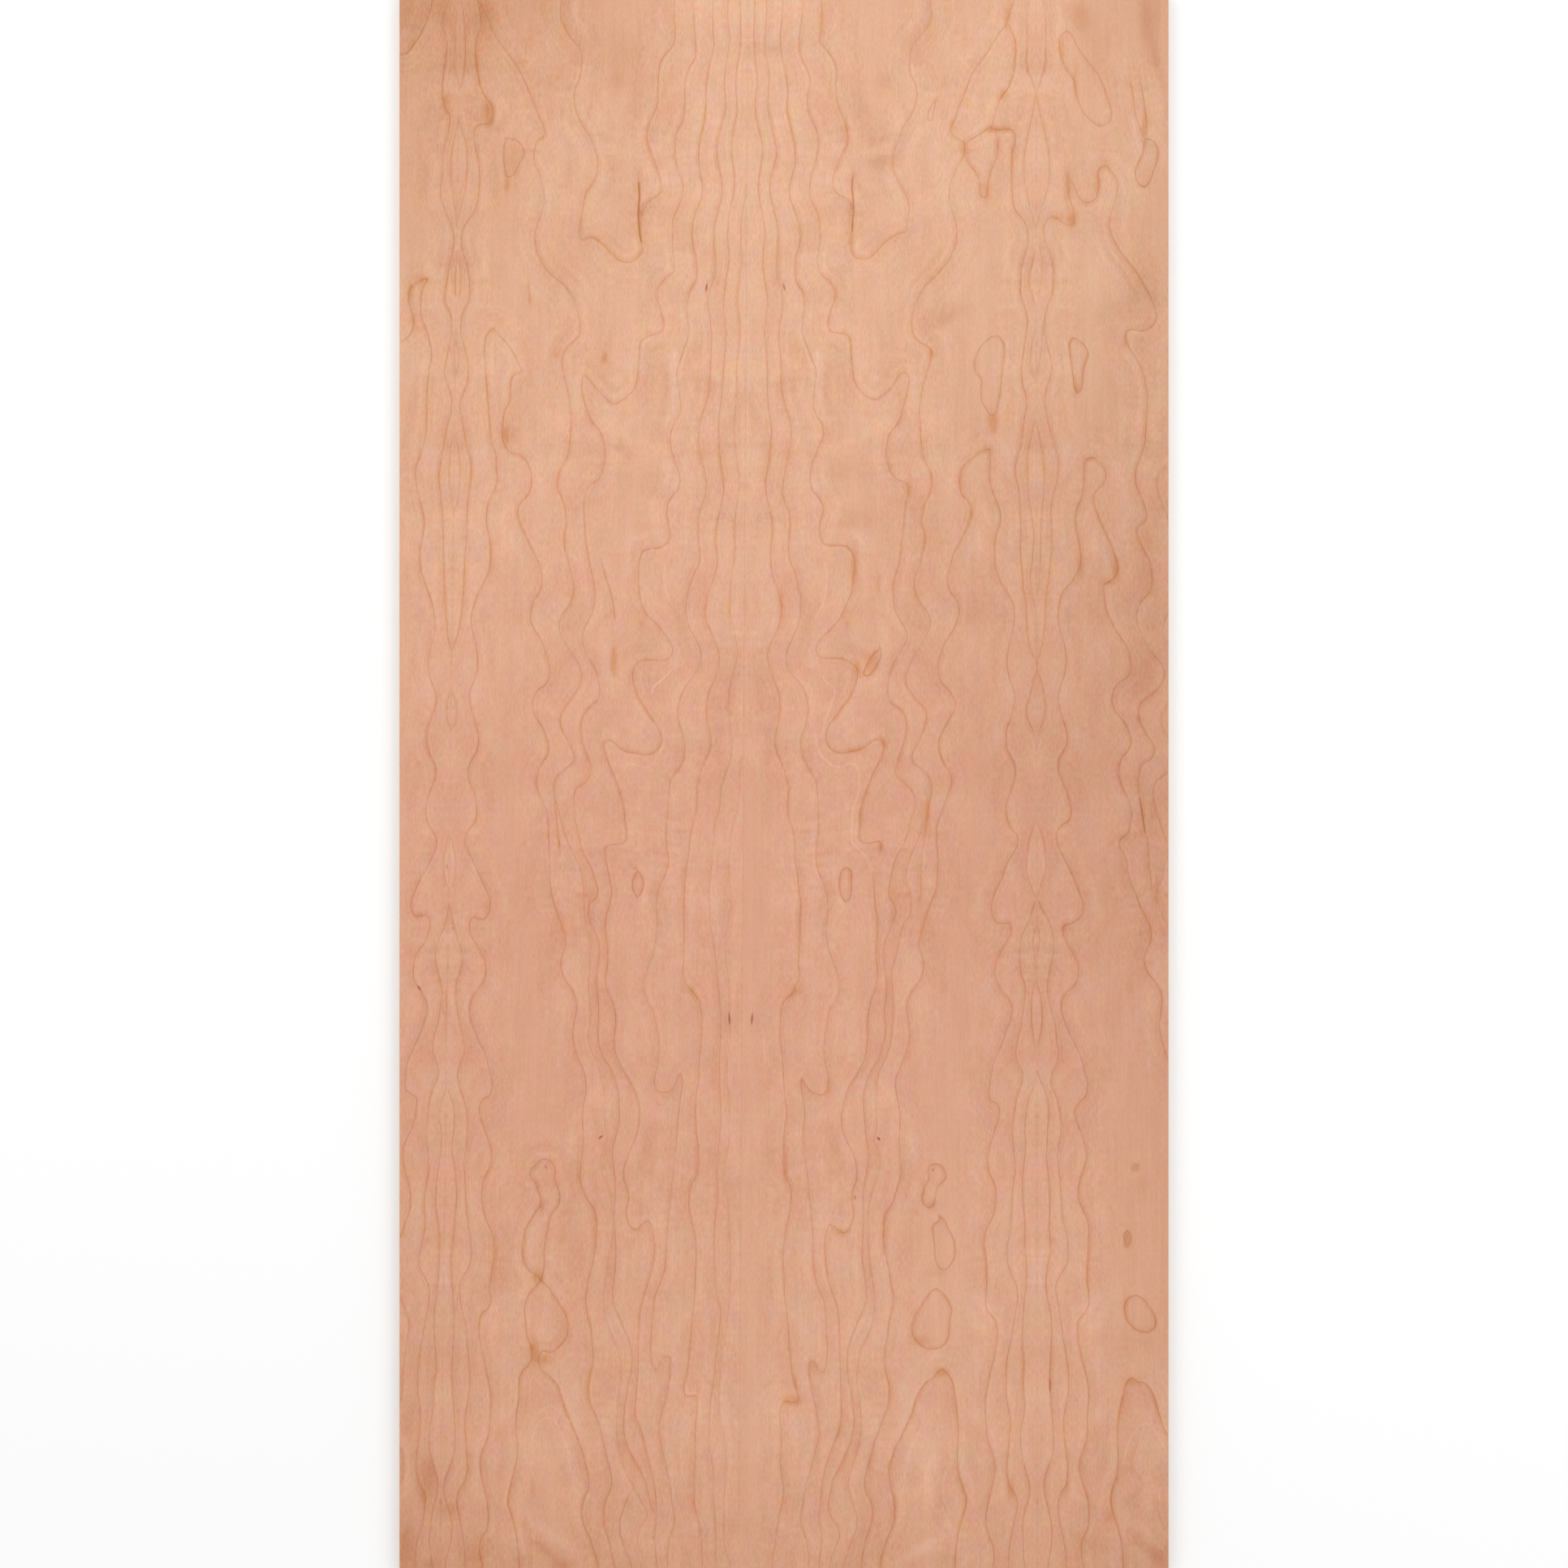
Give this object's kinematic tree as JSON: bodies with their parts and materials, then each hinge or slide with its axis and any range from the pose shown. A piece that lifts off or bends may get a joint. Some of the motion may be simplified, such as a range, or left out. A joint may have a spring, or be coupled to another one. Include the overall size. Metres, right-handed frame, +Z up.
{
  "type": "cherry plywood sheet",
  "caption": "Full sheet of veneer-core plywood with a book-matched, cathedral-figured cherry face, lying flat with its show face up.",
  "frame": {"origin": "centre of the sheet's outline, on its underside, where it lies on the floor", "axes": "+Y along the sheet and the face grain, towards the head end (the picture's top); +X across it, to the picture's right; +Z up through the plies, out of the show face"},
  "size_m": [1.22, 2.5, 0.019],
  "materials": {
    "cherry_face": "matte",
    "cherry_back": "matte",
    "long_core": "matte",
    "crossband": "matte"
  },
  "bodies": {
    "root": {"face_leaf_1": "cherry_face", "face_leaf_2": "cherry_face", "face_leaf_3": "cherry_face", "face_leaf_4": "cherry_face", "crossband_upper": "crossband", "long_core_upper": "long_core", "centre_core": "crossband", "long_core_lower": "long_core", "crossband_lower": "crossband", "back_veneer": "cherry_back"}
  },
  "joints": []
}
